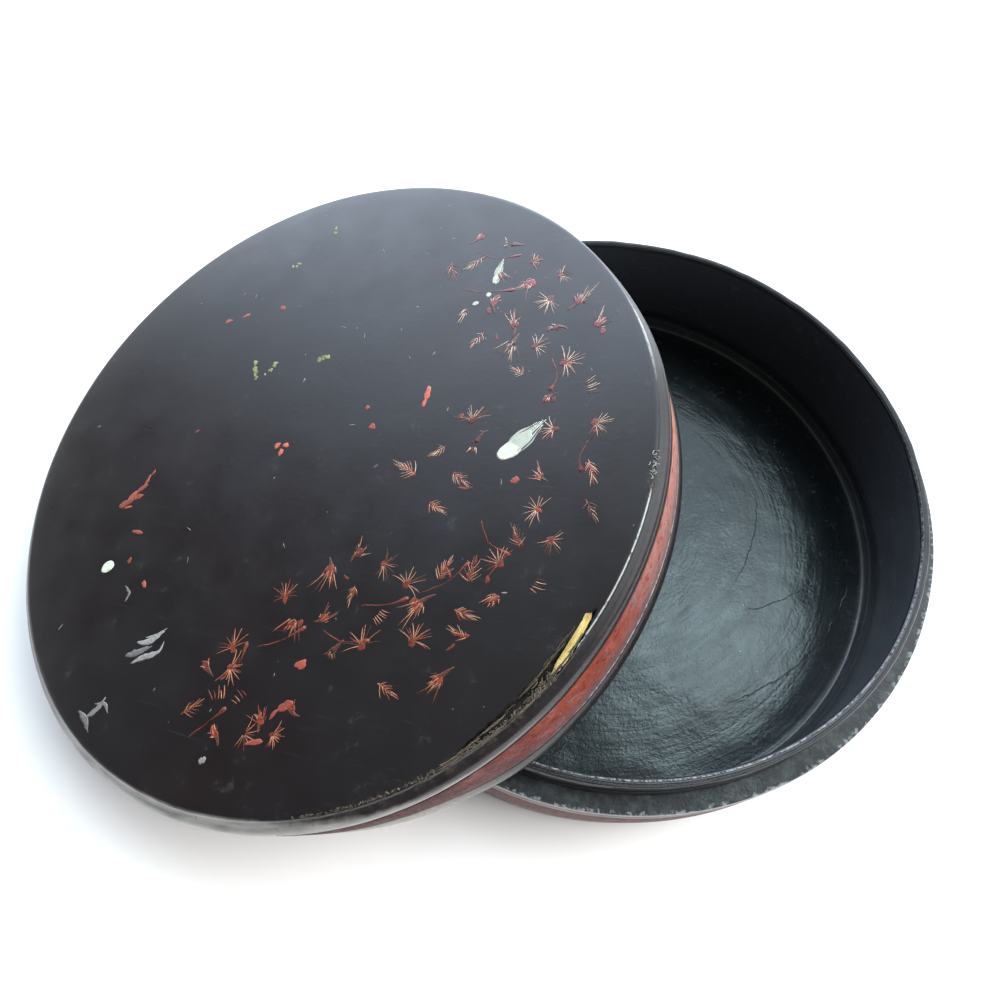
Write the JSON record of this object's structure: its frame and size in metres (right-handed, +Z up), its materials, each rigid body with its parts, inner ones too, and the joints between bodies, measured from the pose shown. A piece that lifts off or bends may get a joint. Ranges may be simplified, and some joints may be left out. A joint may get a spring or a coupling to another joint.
{
  "type": "round lacquer box",
  "caption": "Shallow round lacquered box, hollow, with a collar, red side bands and a painted lift-off lid that leans on the open box.",
  "frame": {"origin": "on the table under the middle of the box", "axes": "+Z up, +X from the lid towards the open side of the box, +Y away from the picture's viewer"},
  "size_m": [0.3433, 0.2424, 0.1105],
  "materials": {
    "box_lacquer": "black lacquer over wood, satin, worn at the ledge and lip, with a dull red side band",
    "lid_lacquer": "black lacquer over wood, glossy, scratched, painted with red and gold pine sprigs, with a worn red side band"
  },
  "bodies": {
    "root": {"box": "box_lacquer", "lid": "lid_lacquer"}
  },
  "joints": []
}
